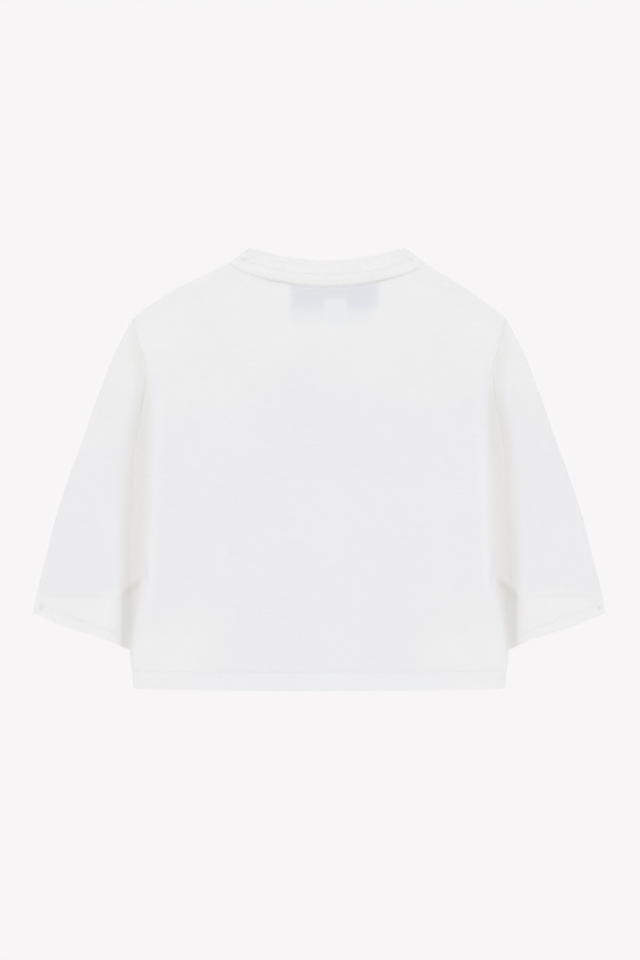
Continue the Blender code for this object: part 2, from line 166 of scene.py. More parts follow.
def line_through(points):
    """Height by x of a smooth line through points."""
    points = sorted(points)
    return through([point[0] for point in points], [point[1] for point in points])


def smooth(value, start, end):
    """0 before start, 1 after end, and a soft step between."""
    t = np.clip((value - start) / (end - start), 0.0, 1.0)
    return t * t * (3 - 2 * t)


def rounded(share):
    """Height of a quarter circle, 0 at its steep foot and 1 at its crest."""
    return np.sqrt(1 - (1 - np.clip(share, 0.0, 1.0)) ** 2)


def groove(distance, width):
    """1 in the middle of a soft groove and next to nothing beyond twice its width."""
    return np.exp(-(distance / width) ** 2)


def curve_through(points, samples=16):
    """A smooth curve through points: a function from shares of its length to x and y."""
    points = np.array(points, float)
    padded = np.concatenate((points[:1], points, points[-1:]))
    t = (np.arange(samples) / samples)[:, None]
    pieces = []
    for p0, p1, p2, p3 in zip(padded, padded[1:], padded[2:], padded[3:]):
        pieces.append(0.5 * (2 * p1 + (p2 - p0) * t + (2 * p0 - 5 * p1 + 4 * p2 - p3) * t ** 2
                             + (3 * p1 - p0 - 3 * p2 + p3) * t ** 3))
    line = np.concatenate((*pieces, points[-1:]))
    steps = np.hypot(*np.diff(line, axis=0).T)
    shares = np.concatenate(([0.0], np.cumsum(steps))) / steps.sum()

    def place(share):
        return np.interp(share, shares, line[:, 0]), np.interp(share, shares, line[:, 1])

    return place


def whole_neck(half):
    """The neck curve from left to right, from one half of it by distance from its middle."""
    left = [(NECK_X - x, y) for x, y in reversed(half)]
    right = [(NECK_X + x, y) for x, y in half[1:]]
    return curve_through(left + right)


def patch(bottom, top, left, right):
    """A flat sheet between four edge curves: a function from (across, up), 0..1, to x and y."""
    ends = [(curve(0.0), curve(1.0)) for curve in (bottom, top)]

    def place(u, v):
        below, above, before, after = bottom(u), top(u), left(v), right(v)
        flat = []
        for axis in (0, 1):
            (low_left, low_right), (high_left, high_right) = ((a[axis], b[axis]) for a, b in ends)
            flat.append((1 - v) * (below[axis] - (1 - u) * low_left - u * low_right)
                        + v * (above[axis] - (1 - u) * high_left - u * high_right)
                        + (1 - u) * before[axis] + u * after[axis])
        return flat

    return place


def unevenness(x, y, size, seed):
    """Soft swells about this far apart, between -1 and 1, for cloth that nobody ironed."""
    draw = np.random.default_rng(seed)
    total = 0.0
    for _ in range(7):
        turn, phase = draw.uniform(0, 2 * math.pi, 2)
        wave = size * draw.uniform(0.7, 1.8)
        across = x * math.cos(turn) + y * math.sin(turn)
        total = total + np.sin(2 * math.pi * across / wave + phase)
    return total / 7


def creases(x, y, table):
    """The creases listed in a table, each a soft ridge or, below zero, a trough."""
    total = 0.0
    for start_x, start_y, end_x, end_y, width, height in table:
        long_x, long_y = end_x - start_x, end_y - start_y
        length = math.hypot(long_x, long_y)
        along = ((x - start_x) * long_x + (y - start_y) * long_y) / length
        beside = ((y - start_y) * long_x - (x - start_x) * long_y) / length
        bow = 0.06 * length * np.sin(math.pi * np.clip(along / length, 0, 1))
        ends = smooth(along, -width, width) * (1 - smooth(along, length - width, length + width))
        total = total + height * ends * groove(beside - bow, width)
    return total


edge_at = {name: through(EDGE_Y, column) for name, column in EDGE.items()}
half_width = edge_at["half"]
sleeve_full = through(SLEEVE_SHARE, SLEEVE_FULL)
left_shoulder = line_through(LEFT_SHOULDER)
right_shoulder = line_through(RIGHT_SHOULDER)
back_seam = line_through(BACK_SEAM)
front_seam = line_through(FRONT_SEAM)


# ================================================================ the body's form
def front_lift(x, y):
    """How far the front is lifted off the floor: it crosses the tucked sleeves."""
    inside = half_width(y) - np.abs(x)
    across = 1 - smooth(inside, LIFT_FLAT, LIFT_FLAT + LIFT_FALL)
    return LIFT * across * (1 - smooth(y, *LIFT_TOP)) * smooth(y, LIFT_FOOT[1], LIFT_FOOT[0])


def shoulder_distance(x, y):
    """How far a place lies below the nearer shoulder line, which runs on straight over the neck."""
    found = []
    for line, height in ((LEFT_SHOULDER, left_shoulder), (RIGHT_SHOULDER[::-1], right_shoulder)):
        (point_x, point_y), (neck_x, neck_y) = line[0], line[-1]
        run, rise = abs(neck_x - point_x), neck_y - point_y
        past_neck = np.abs(x - point_x) - run
        edge = np.where(past_neck > 0, neck_y + rise / run * past_neck, height(x))
        found.append((edge - y) * run / math.hypot(run, rise))
    return np.where(x < NECK_X, *found)


def below_neck(x, y, seam):
    """How far a place lies below a neck seam, and far off where it isn't under the neck."""
    beside = np.abs(x - NECK_X)
    step = 0.5
    slope = (seam(beside + step) - seam(beside - step)) / (2 * step)
    distance = (seam(beside) - y) / np.sqrt(1 + slope ** 2)
    return np.where(beside < BACK_SEAM[-1][0], distance, 99.0)


def neck_depth(x):
    """How deep the neck seam lies: less towards the shoulders."""
    return 0.75 - 0.5 * smooth(np.abs(x - NECK_X), 38, 62)


def above_hem(x, y):
    return y - HEM_Y + HEM_SAG * (1 - (x / HEM_X) ** 2)


def sewn_share(y):
    """1 where the body's edge is sewn to a sleeve and 0 where it lies on the sleeve."""
    return smooth(y, TUCK_Y - 4, TUCK_Y + 12)


def rim_wall(x, y):
    """Wall of each panel right at an edge where front and back are sewn together."""
    hem = smooth(-y, -LIFT_FOOT[0], -LIFT_FOOT[1])
    corner = np.hypot(np.abs(x - NECK_X) - BACK_SEAM[-1][0], y - BACK_SEAM[-1][1])
    return RIM + RIM_MORE * np.maximum(hem, 1 - smooth(corner, 1, 15))


def rim_top(x, y):
    """Height of such an edge over the floor or over the lifted front."""
    return SIDE_ROLL + 0.02 + 2 * rim_wall(x, y)


def panel_wall(x, y):
    """Wall of a panel: doubled in the hem, and thin where front and back meet."""
    doubled = 1 - smooth(above_hem(x, y), HEM_DEPTH - 0.6, HEM_DEPTH + 0.6)
    whole = JERSEY + (HEM_WALL - JERSEY) * doubled
    inside = half_width(y) - np.abs(x) + 9 * sewn_share(y)
    share = smooth(np.minimum(inside, shoulder_distance(x, y)), 0, RIM_WIDE)
    return np.minimum(rim_wall(x, y), whole) * (1 - share) + whole * share


def risen(distance, wide):
    """Share of its full height that cloth has this far from its fold, when it rises over wide."""
    distance = np.clip(distance, 0.0, None)
    share = np.clip(distance / wide, 0, 1)
    return 0.04 * rounded(distance / 0.8) + 0.96 * (0.5 * share + 0.5 * np.sin(math.pi / 2 * share))


def side_height(y):
    """Height of the back panel's side edges, where they aren't near the shoulders."""
    free = front_lift(half_width(y), y) + rim_top(half_width(y), y)
    return free + (edge_at["sleeve"](y) + 0.1 - free) * sewn_share(y)


def relief(x, y, inside, seam):
    """What sewing does to a panel's surface: seams, rows of stitches and the turned hem."""
    hem, sewn, neck = above_hem(x, y), sewn_share(y), below_neck(x, y, seam)
    hem_pucker = np.sin(2 * math.pi * x / HEM_PUCKER + 0.8 * np.sin(x / 11))
    neck_pucker = np.sin(2 * math.pi * x / NECK_PUCKER + np.sin(x / 9))
    height = -ROW_DEPTH * groove(hem - HEM_DEPTH, 1.0)
    turned_in = smooth(hem, HEM_DEPTH + 0.5, HEM_DEPTH - 4)
    height += HEM_PROUD * turned_in * (0.75 + 0.25 * rounded(hem / 5))
    height += 0.05 * hem_pucker * groove(hem - HEM_DEPTH, 4.0)
    height -= SEAM_DEPTH * sewn * groove(inside, 1.3)
    height -= neck_depth(x) * groove(neck, 1.9)
    height += 0.06 * neck_pucker * groove(neck - 2.5, 3.0)
    return height


BACK_CREASES = (
    # start x, y, end x, y, width, height
    (-122, 62, -92, 30, 7, 0.35),
    (121, 58, 96, 22, 6, 0.30),
    (-78, -142, -46, -137, 6, 0.30),
    (50, -138, 76, -143, 6, 0.28),
    (-120, -152, -94, -112, 9, 0.35),
    (119, -150, 96, -104, 9, 0.30),
    (-64, 138, -104, 98, 10, 0.22),
    (78, 136, 108, 100, 9, 0.20),
    (-30, -70, 26, -76, 14, 0.18),
)
FRONT_CREASES = (
    (-112, 66, -84, 36, 8, 0.40),
    (110, 60, 88, 28, 7, 0.35),
    (-70, -128, -30, -122, 8, 0.30),
    (34, -112, 78, -120, 8, 0.30),
    (-50, 92, -74, 56, 10, 0.30),
    (60, 96, 80, 62, 9, 0.25),
)


def back_top(x, y):
    """Outside of the back panel."""
    inside = np.maximum(half_width(y) - np.abs(x), 0.0)
    ridge_in, ridge, base = (edge_at[name](y) for name in ("ridge_in", "ridge", "base"))
    sewn = sewn_share(y)
    rim = side_height(y)
    share = np.clip(inside / ridge_in, 0, 1)
    free_rise = 0.05 * rounded(inside / 1.2) + 0.95 * share * (1.7 - 0.7 * share)
    rise = free_rise + (smooth(share, 0, 1) - free_rise) * sewn
    side = rim + (ridge - rim) * rise
    middle = ridge + (base - ridge) * smooth(inside, ridge_in, ridge_in + RIDGE_OUT)
    height = np.where(inside < ridge_in, side, middle)
    height = height + relief(x, y, inside, back_seam)
    calm = smooth(inside, 0, 9) * smooth(shoulder_distance(x, y), 2, 20)
    height += calm * (creases(x, y, BACK_CREASES) + 0.16 * unevenness(x, y, 46, 3))
    seam = rim_top(x, y)
    pressed = smooth(np.abs(x - NECK_X), 58, 68) * groove(below_neck(x, y, back_seam), 2.2)
    shoulder = risen(shoulder_distance(x, y), SHOULDER_ROLL)
    return seam + (height - seam) * shoulder - CORNER_SINK * pressed


def front_bottom(x, y):
    """Outside of the front panel, which faces down and lies on the floor."""
    inside = np.maximum(half_width(y) - np.abs(x), 0.0)
    roll = SIDE_ROLL * (1 - np.clip(inside / ROLL_WIDE, 0, 1)) ** 2 * (1 - sewn_share(y))
    height = front_lift(x, y) + roll
    shoulder = shoulder_distance(x, y)
    height = np.maximum(height, SIDE_ROLL * (1 - rounded(shoulder / SIDE_ROLL)))
    calm = smooth(inside, 8, 40) * smooth(above_hem(x, y), 8, 30) * smooth(shoulder, 4, 24)
    height += calm * np.maximum(creases(x, y, FRONT_CREASES), 0.0)
    height -= np.minimum(relief(x, y, inside, front_seam), 0.0)
    return height


def sleeve_top(x, y, share, from_fold):
    """Outside of a sleeve's upper layer: low beside the body and thin at its outer fold."""
    outside = np.abs(x) - half_width(y)
    cuffward = smooth(-y - 0.75 * (np.abs(x) - 144.5), 80, 94)
    low = edge_at["sleeve"](y)
    roll = (front_lift(half_width(y), y) - low + SIDE_ROLL - 0.06) * (1 - sewn_share(y))
    roll = np.maximum(roll, 0.0)
    floor = low + roll * np.clip(1 + outside / ROLL_WIDE, 0, 1) ** 2
    away = np.clip(outside / edge_at["dip"](y), 0, 1)
    rise = away * (1.6 - 0.6 * away)
    height = floor + (sleeve_full(share) - low - roll) * (rise + (away - rise) * cuffward)
    fold = 2 * FOLD_RADIUS
    wide = np.interp(smooth(share * SLEEVE_LENGTH, 0, OUTER_ROLL_FROM), (0, 1), OUTER_ROLL)
    return fold + (height - fold) * risen(from_fold, wide)


# ================================================================ meshes
def grown(points, axis):
    """How far each point lies along its line of the grid, counted along one axis of it."""
    steps = np.linalg.norm(np.diff(points, axis=axis), axis=-1)
    return np.concatenate((np.zeros_like(np.take(steps, [0], axis)), np.cumsum(steps, axis)), axis)


def new_piece(name, mesh):
    piece = bpy.data.objects.new(name, mesh)
    bpy.context.scene.collection.objects.link(piece)
    return piece


def cloth_mesh(name, points, closed, flat, turned=False):
    """A sheet through a grid of points; closed runs each row round to its start.

    flat turns the grid into places on the cloth in millimetres, for the UV map."""
    rows, columns = points.shape[:2]
    ring = np.concatenate((points, points[:, :1]), axis=1) if closed else points
    places = np.stack(np.broadcast_arrays(*flat(ring)), axis=-1)

    index = np.arange(rows * columns).reshape(rows, columns)
    if closed:
        index = np.concatenate((index, index[:, :1]), axis=1)
    corners = ((0, 0), (0, 1), (1, 1), (1, 0))
    if turned:
        corners = corners[::-1]
    high, wide = rows - 1, index.shape[1] - 1
    faces = np.stack([index[r:r + high, c:c + wide] for r, c in corners], axis=-1).reshape(-1, 4)
    uv = np.stack([places[r:r + high, c:c + wide] for r, c in corners], axis=-2)

    mesh = bpy.data.meshes.new(name)
    mesh.from_pydata((points.reshape(-1, 3) * MM).tolist(), [], faces.tolist())
    layer = mesh.uv_layers.new(name="cloth")
    layer.data.foreach_set("uv", (uv.reshape(-1) * MM).tolist())
    return new_piece(name, mesh)


def select_none():
    for other in bpy.context.selected_objects:
        other.select_set(False)


def finish_cloth(piece, wall, round_rim):
    """Gives a sheet its wall, inwards, and rounds the rims of it.

    wall is one thickness, or one for each point of the sheet."""
    select_none()
    piece.select_set(True)
    bpy.context.view_layer.objects.active = piece
    shell = piece.modifiers.new("wall", "SOLIDIFY")
    shell.offset = -1
    shell.thickness = float(np.max(wall)) * MM
    if np.ndim(wall):
        least, most = np.min(wall), np.max(wall)
        group = piece.vertex_groups.new(name="wall")
        shares = np.round((wall.reshape(-1) - least) / (most - least), 2)
        for share in np.unique(shares):
            group.add(np.flatnonzero(shares == share).tolist(), float(share), "REPLACE")
        shell.vertex_group = group.name
        shell.thickness_vertex_group = float(least / most)
    bpy.ops.object.modifier_apply(modifier=shell.name)
    if round_rim:
        bevel = piece.modifiers.new("rim", "BEVEL")
        bevel.width = round_rim * MM
        bevel.segments = 3
        bevel.limit_method = "ANGLE"
        bevel.angle_limit = math.radians(50)
        bpy.ops.object.modifier_apply(modifier=bevel.name)
    bpy.ops.object.shade_smooth()
    piece.vertex_groups.clear()


def spread(total, first, last, step):
    """Distances from 0 to total: as first and last say at its ends, and a step apart between."""
    steps = round((total - first[-1] - last[-1]) / step)
    inner = np.linspace(first[-1], total - last[-1], steps + 1)
    return np.concatenate((first[:-1], inner, total - np.array(last[:-1])[::-1]))


# ================================================================ body panels
# How far from a panel's edges its rows and columns of points lie, where they are close together.
EDGE_STEPS = (0, 0.12, 0.35, 0.7, 1.15, 1.7, 2.3, 2.9, 3.5, 4.2, 4.7, 5.1, 5.6, 6.4, 7.5, 8.7,
              10, 11.5)
TOP_STEPS = (0, 0.12, 0.35, 0.7, 1.15, 1.7, 2.3, 3.0, 3.8, 4.8, 6.0, 7.4, 9.0)
HEM_STEPS = (0, 0.5, 1.1, 1.9, 3.0, 4.3, 5.7, 7.2, 8.7, 10.2, 11.5, 12.3, 12.8, 13.2, 13.6, 14.1,
             14.9, 16)
PANEL_STEP = 1.6        # and how far apart they lie elsewhere
SHOULDER_SHARE = 0.26   # share of a panel's width that each shoulder line takes


def panel_grid(neck):
    """Points of a body panel seen flat, rows from the hem up, and their x and y."""
    left_line, right_line = curve_through(LEFT_SHOULDER), curve_through(RIGHT_SHOULDER)
    share = SHOULDER_SHARE

    def top(u):
        u = np.asarray(u, float)
        parts = (left_line(u / share), neck((u - share) / (1 - 2 * share)),
                 right_line((u - 1 + share) / share))
        return [np.select((u < share, u <= 1 - share), (parts[0][i], parts[1][i]), parts[2][i])
                for i in (0, 1)]

    def hem(u):
        return HEM_X * (2 * u - 1), HEM_Y - HEM_SAG * (1 - (2 * u - 1) ** 2)

    def edge(side):
        def place(v):
            y = HEM_Y + (SHOULDER_Y - HEM_Y) * v
            return side * half_width(y), y
        return place

    height = SHOULDER_Y - HEM_Y
    columns = spread(2 * HEM_X, EDGE_STEPS, EDGE_STEPS, PANEL_STEP) / (2 * HEM_X)
    columns[np.argmin(np.abs(columns - share))] = share
    columns[np.argmin(np.abs(columns - 1 + share))] = 1 - share
    u, v = np.meshgrid(columns, spread(height, HEM_STEPS, TOP_STEPS, PANEL_STEP) / height)
    return patch(hem, top, edge(-1), edge(1))(u, v)


def as_it_lies(ring):
    return ring[..., 0], ring[..., 1]


def make_panel(name, neck, surface, turned):
    x, y = panel_grid(neck)
    points = np.stack((x, y, surface(x, y)), axis=-1)
    piece = cloth_mesh(name, points, closed=False, flat=as_it_lies, turned=turned)
    finish_cloth(piece, panel_wall(x, y), 0.05)
    return piece


# ================================================================ sleeves
def sleeve_curves():
    """Armhole, cuff, outer and inner edge of the sleeve on the left."""
    def seam_point(y):
        return -half_width(y) - ARMHOLE_GAP, y

    start, stop = seam_point(SHOULDER_Y), seam_point(TUCK_Y)
    tail = curve_through((stop, *ARMHOLE_TAIL))
    along = SHOULDER_Y - TUCK_Y
    share = along / (along + math.dist(stop, ARMHOLE_TAIL[-1]))

    def armhole(u):
        u = np.asarray(u, float)
        sewn = seam_point(SHOULDER_Y - along * u / share)
        under = tail((u - share) / (1 - share))
        return [np.where(u <= share, sewn[i], under[i]) for i in (0, 1)]

    outer = curve_through((start, *SLEEVE_OUTER[1:]))
    inner = curve_through((ARMHOLE_TAIL[-1], *SLEEVE_INNER))
    return armhole, curve_through(CUFF), outer, inner


# How far a sleeve's points lie outside the body's edge and under it, and its rows from the armhole
# and from the cuff's edge, where they are close together.
BESIDE_STEPS = (0, 0.3, 0.7, 1.2, 1.9, 2.7, 3.7, 5.0)
UNDER_STEPS = (0.4, 1.0, 2.0, 3.4)
ARMHOLE_STEPS = (0, 0.4, 0.9, 1.5, 2.2, 3.0, 3.9, 4.8, 5.8, 7.0)
CUFF_STEPS = (0, 0.5, 1.2, 2.2, 3.6, 5.2, 6.8, 7.9, 8.6, 9.0, 9.4, 10.1, 11.4, 13)
SLEEVE_STEP = 1.89      # and how far apart the rows lie elsewhere
FOLD_STEPS = 9          # points round each of its folded edges


def under_body(place, share):
    """Where a row of the sleeve passes under the body's edge, as a share of the row."""
    u = np.linspace(0.3, 1, 500)
    x, y = place(u, np.full(len(u), share))
    outside = np.abs(x) - half_width(y)
    last = np.flatnonzero(outside > ARMHOLE_GAP / 2)[-1]
    return u[last] + (u[last + 1] - u[last]) * outside[last] / (outside[last] - outside[last + 1])


SLEEVE_CREASES = (
    (-176, 24, -146, 6, 8, 0.35),
    (-190, -30, -160, -52, 9, 0.40),
    (-199, -93.8, -165, -93.2, 1.9, -0.55),
    (-200, -86, -168, -85, 6, 0.30),
    (-182, -66, -156, -62, 9, 0.30),
    (-160, 70, -146, 44, 6, 0.30),
)


def sleeve_grid(uneven):
    """Points round a flattened sleeve in rows from the armhole to the cuff, and their shares."""
    armhole, cuff, outer, inner = sleeve_curves()
    place = patch(armhole, cuff, outer, inner)
    shares = spread(SLEEVE_LENGTH, ARMHOLE_STEPS, CUFF_STEPS, SLEEVE_STEP) / SLEEVE_LENGTH
    angles = np.radians(np.linspace(-90, 90, FOLD_STEPS + 2)[1:-1])
    inward = FOLD_REACH * (1 - np.cos(angles))
    near = 0.02
    rows = []
    for share in shares:
        outer_x, outer_y = outer(share)
        inner_x, inner_y = inner(share)
        width = math.hypot(outer_x - inner_x, outer_y - inner_y)
        edge = under_body(place, share) * width
        across = np.concatenate((np.linspace(FOLD_REACH, edge - BESIDE_STEPS[-1], 46)[:-1],
                                 edge - np.array(BESIDE_STEPS[::-1]), edge + np.array(UNDER_STEPS),
                                 np.linspace(edge + UNDER_STEPS[-1], width - FOLD_REACH, 9)[1:]))
        x, y = place(across / width, np.full(len(across), share))
        from_fold = across - FOLD_REACH
        above_cuff = (1 - share) * SLEEVE_LENGTH
        outside = np.abs(x) - half_width(y)
        sewing = -ROW_DEPTH * groove(above_cuff - CUFF_DEPTH, 0.9)
        sewing = sewing * (0.2 + 0.8 * smooth(outside, 4, 12))
        turned_in = smooth(above_cuff, CUFF_DEPTH + 0.4, CUFF_DEPTH - 3)
        sewing += CUFF_PROUD * turned_in * (0.75 + 0.25 * rounded(above_cuff / 4))
        seam = -SEAM_DEPTH * groove(share * SLEEVE_LENGTH, 1.4)
        bottom = np.maximum(0.0, -sewing) - seam
        top = sleeve_top(x, y, share, from_fold) + sewing + seam
        calm = smooth(from_fold, 3, 16) * smooth(share, 0.02, 0.1) * smooth(outside, 1, 9)
        top = top + calm * (creases(x, y, SLEEVE_CREASES) + 0.2 * unevenness(x, y, 30, uneven))
        bottom_row = np.stack((x, y, bottom), axis=-1)
        top_row = np.stack((x, y, top), axis=-1)[::-1]
        ahead, behind = inner(share + near), inner(share - near)
        step = math.hypot(ahead[0] - behind[0], ahead[1] - behind[1])
        out_x, out_y = (behind[1] - ahead[1]) / step, (ahead[0] - behind[0]) / step
        pressed = inward + 0.25 * groove(angles, 0.5)
        rise = FOLD_RADIUS * (1 + np.sin(angles))
        inner_fold = np.stack((inner_x - out_x * pressed, inner_y - out_y * pressed, rise), axis=-1)
        fold_x, fold_y = place(inward / width, np.full(len(angles), share))
        outer_fold = np.stack((fold_x, fold_y, 2 * FOLD_RADIUS - rise), axis=-1)
        rows.append(np.concatenate((bottom_row, inner_fold, top_row, outer_fold)))
    return np.array(rows), shares, len(across)


def make_sleeve(name, side, uneven):
    """A sleeve and its rows of stitches; side is -1 for the one on the left and 1 for the right."""
    points, shares, across = sleeve_grid(uneven)
    points[..., 0] *= -side
    axis_x, axis_y = np.array(SLEEVE_AXIS) / math.hypot(*SLEEVE_AXIS)

    def along_sleeve(ring):
        x, y = ring[..., 0] * -side, ring[..., 1]
        return x * axis_y - y * axis_x, -x * axis_x - y * axis_y

    piece = cloth_mesh(name, points, closed=True, flat=along_sleeve, turned=side > 0)
    above_cuff = (1 - shares) * SLEEVE_LENGTH
    doubled = np.repeat(1 - smooth(above_cuff, CUFF_DEPTH - 0.5, CUFF_DEPTH + 0.5), points.shape[1])
    finish_cloth(piece, JERSEY + (CUFF_WALL - JERSEY) * doubled, 0.08)
    row = points[np.argmin(np.abs(above_cuff - CUFF_DEPTH))]
    top_row = row[across + FOLD_STEPS + 2:-FOLD_STEPS - 2]
    return piece, (row[2:across - 2], top_row[np.abs(top_row[:, 0]) > CUFF_ROW_X])


# ================================================================ neckband
# Where the neckband's points lie across it, from 1 at its folded edge to 0 at its seam.
BAND_ACROSS = (1, 0.975, 0.94, 0.89, 0.82, 0.74, 0.66, 0.59, 0.54, 0.515, 0.49, 0.465,
               0.44, 0.39, 0.31, 0.23, 0.16, 0.1, 0.06, 0.03, 0.01, 0)
BAND_GAP = 0.1          # between the panels' edge and the neckband sewn to it


def from_corner(share):
    """Distance from the nearer corner by the share of the way from corner to corner."""
    return BAND_LENGTH * (np.minimum(share, 1 - share) - BAND_EASE)


def band_height(share):
    """Height of the neckband's back by its share of the way from corner to corner."""
    low = 2 * BAND_FOLD_RADIUS
    rise = np.clip(from_corner(share) / CORNER_RISE, 0, 1)
    return low + (EDGE["base"][-1] + BAND_PROUD - low) * rise * (1.7 - 0.7 * rise)


def band_wall(share):
    """Wall of the neckband by its share of the way from corner to corner."""
    return BAND_FOLD_WALL + (RIB - BAND_FOLD_WALL) * smooth(from_corner(share), 0, 8)


def neckband_grid():
    """Points of the neckband, row by row round its ring from folded edge to seam, and their walls."""
    stretches = {"back": (whole_neck(BACK_SEAM), whole_neck(BACK_EDGE)),
                 "front": (whole_neck(FRONT_SEAM), whole_neck(FRONT_EDGE))}
    shares = np.concatenate((np.linspace(BAND_EASE, 0.06, 8)[:-1], np.linspace(0.06, 0.94, 118),
                             np.linspace(0.94, 1 - BAND_EASE, 8)[1:]))
    angles = np.radians(np.linspace(90, -90, 17)[1:-1])

    def station(stretch, share):
        (seam_x, seam_y), (edge_x, edge_y) = (curve(share) for curve in stretches[stretch])
        width = math.hypot(seam_x - edge_x, seam_y - edge_y)
        t = BAND_GAP / width + (1 - BAND_GAP / width) * np.array(BAND_ACROSS)
        return seam_x + (edge_x - seam_x) * t, seam_y + (edge_y - seam_y) * t, t * width

    def fold_row(angle, share):
        x, y, _ = station("back" if angle > 0 else "front", share)
        return np.stack((x, y, 0 * x + BAND_FOLD_RADIUS * (1 + math.sin(angle))), axis=-1)

    turns = BAND_EASE * (1 - np.cos(angles))
    back_rows, front_rows = [], []
    for share in shares:
        full = smooth(band_wall(share), BAND_FOLD_WALL, RIB)
        x, y, up = station("back", share)
        row_groove = BAND_ROW_DEPTH * full * groove(up - BAND_ROW, 0.7)
        seam = 0.5 * neck_depth(stretches["back"][0](share)[0])
        fall = seam * groove(up, 1.2) + row_groove + 0.12 * groove(up[0] - up, 1.0)
        back_rows.append(np.stack((x, y, band_height(share) - fall), axis=-1))
        x, y, up = station("front", share)
        row_groove = BAND_ROW_DEPTH * full * groove(up - BAND_ROW, 0.7)
        rise = 0.55 * full * groove(up, 1.2) + row_groove
        front_rows.append(np.stack((x, y, rise), axis=-1))
    right_fold = [fold_row(angle, 1 - turn) for angle, turn in zip(angles, turns)]
    left_fold = [fold_row(angle, turn) for angle, turn in zip(angles[::-1], turns)]
    rows = back_rows + right_fold + front_rows[::-1] + left_fold
    flat_walls, fold_walls = band_wall(shares), np.full(len(angles), BAND_FOLD_WALL)
    return np.array(rows), np.concatenate((flat_walls, fold_walls, flat_walls[::-1], fold_walls))


def make_neckband():
    points, walls = neckband_grid()

    def round_neck(ring):
        return grown(ring, 1).mean(axis=0), -grown(ring, 0)

    piece = cloth_mesh("neckband_rib", points.transpose(1, 0, 2), closed=True, flat=round_neck,
                       turned=True)
    finish_cloth(piece, np.tile(walls, (points.shape[1], 1)), 0.15)
    return piece


# ================================================================ label and tab
def make_ribbon(name, x, y, below_back):
    """A ribbon through places seen flat, this far below the inside of the back panel."""
    z = back_top(x, y) - JERSEY - below_back
    piece = cloth_mesh(name, np.stack((x, y, z), axis=-1), closed=False, flat=as_it_lies)
    finish_cloth(piece, RIBBON, 0.12)
    return piece


def make_label():
    x, up = np.meshgrid(np.linspace(LABEL["left"], LABEL["right"], 60), np.linspace(0, 1, 24))
    top = back_seam(np.abs(x - NECK_X)) - LABEL["below_seam"]
    y = LABEL["foot"] + (top - LABEL["foot"]) * up
    return make_ribbon("neck_label_ribbon", x, y, 0.35 + 1.1 * smooth(top - y, 0, 7))


def make_tab():
    x, y = np.meshgrid(np.linspace(TAB["left"], TAB["right"], 24),
                       np.linspace(TAB["foot"], TAB["top"], 28))
    return make_ribbon("size_tab_ribbon", x, y, 0.3)


# ================================================================ stitches
def stitch_form():
    """One stitch lying along X, a unit long: a grain of thread with tapered ends."""
    select_none()
    bpy.ops.mesh.primitive_uv_sphere_add(segments=6, ring_count=5, radius=0.5,
                                         rotation=(0, math.pi / 2, 0))
    grain = bpy.context.object
    bpy.ops.object.transform_apply(location=True, rotation=True, scale=True)
    points = np.array([vertex.co[:] for vertex in grain.data.vertices])
    faces = [tuple(face.vertices) for face in grain.data.polygons]
    bpy.data.objects.remove(grain, do_unlink=True)
    return points, faces


STITCH_POINTS, STITCH_FACES = stitch_form()


def stitch_rows(name, rows, length=2.3, pitch=2.9, thick=0.42, sideways=0.0):
    """Stitches along lines of points, joined in one piece. sideways sets every second one over."""
    made = []
    for line in rows:
        line = np.asarray(line, float)
        steps = np.linalg.norm(np.diff(line, axis=0), axis=1)
        run = np.concatenate(([0.0], np.cumsum(steps)))
        count = max(int(run[-1] / pitch), 1)
        for i in range(count):
            middle = run[-1] * (i + 0.5) / count
            ends = [np.array([np.interp(middle + half, run, line[:, axis]) for axis in range(3)])
                    for half in (-length / 2, length / 2)]
            along = ends[1] - ends[0]
            along /= np.linalg.norm(along)
            beside = np.cross((0, 0, 1), along)
            beside /= np.linalg.norm(beside)
            over = np.cross(along, beside)
            shift = beside * sideways * (1 if i % 2 else -1)
            turn = np.stack((along * length, beside * thick, over * thick))
            made.append(STITCH_POINTS @ turn + (ends[0] + ends[1]) / 2 + shift)
    count = len(STITCH_POINTS)
    faces = [tuple(i + count * n for i in face) for n in range(len(made)) for face in STITCH_FACES]
    mesh = bpy.data.meshes.new(name)
    mesh.from_pydata((np.concatenate(made) * MM).tolist(), [], faces)
    mesh.shade_smooth()
    return new_piece(name, mesh)


def hem_line(surface, proud):
    """The row of stitches over a panel's hem, this far above the panel's surface."""
    x = np.linspace(-HEM_X + 1.5, HEM_X - 1.5, 400)
    y = HEM_Y - HEM_SAG * (1 - (x / HEM_X) ** 2) + HEM_DEPTH
    return np.stack((x, y, surface(x, y) + proud), axis=-1)


def band_line(seam_half, edge_half, height):
    """The row of stitches round one stretch of the neckband, at a height by share of its length."""
    shares = np.linspace(0.03, 0.97, 300)
    seam, edge = whole_neck(seam_half)(shares), whole_neck(edge_half)(shares)
    up = BAND_ROW / np.hypot(seam[0] - edge[0], seam[1] - edge[1])
    x, y = (seam[axis] + (edge[axis] - seam[axis]) * up for axis in (0, 1))
    return np.stack((x, y, height(shares)), axis=-1)


